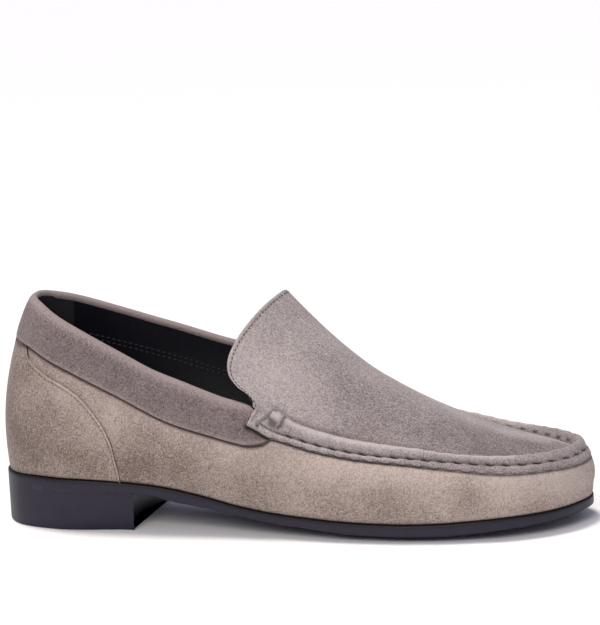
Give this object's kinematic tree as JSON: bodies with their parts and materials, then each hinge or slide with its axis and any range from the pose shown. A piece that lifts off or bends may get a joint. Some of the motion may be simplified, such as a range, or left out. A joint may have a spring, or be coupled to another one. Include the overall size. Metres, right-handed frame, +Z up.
{
  "type": "elevator loafer",
  "caption": "Slip-on suede loafer with a raised moccasin seam, padded collar, low heel and a raised footbed inside; stands empty on heel and forefoot.",
  "frame": {"origin": "on the floor, in the middle of the whole shoe's bounding box", "axes": "+X from heel to toe, +Y to the inner side of the foot, +Z up from the floor"},
  "size_m": [0.3056, 0.0996, 0.1188],
  "materials": {
    "sole_black": "satin black edge",
    "lining_black": "smooth black lining",
    "suede_wall": "warm taupe suede",
    "suede_dark": "darker taupe suede"
  },
  "bodies": {
    "root": {"outsole": "sole_black", "heel_block": "sole_black", "insole": "lining_black", "upper": "suede_wall", "collar_cuff": "suede_dark", "heel_counter": "suede_wall"}
  },
  "joints": []
}
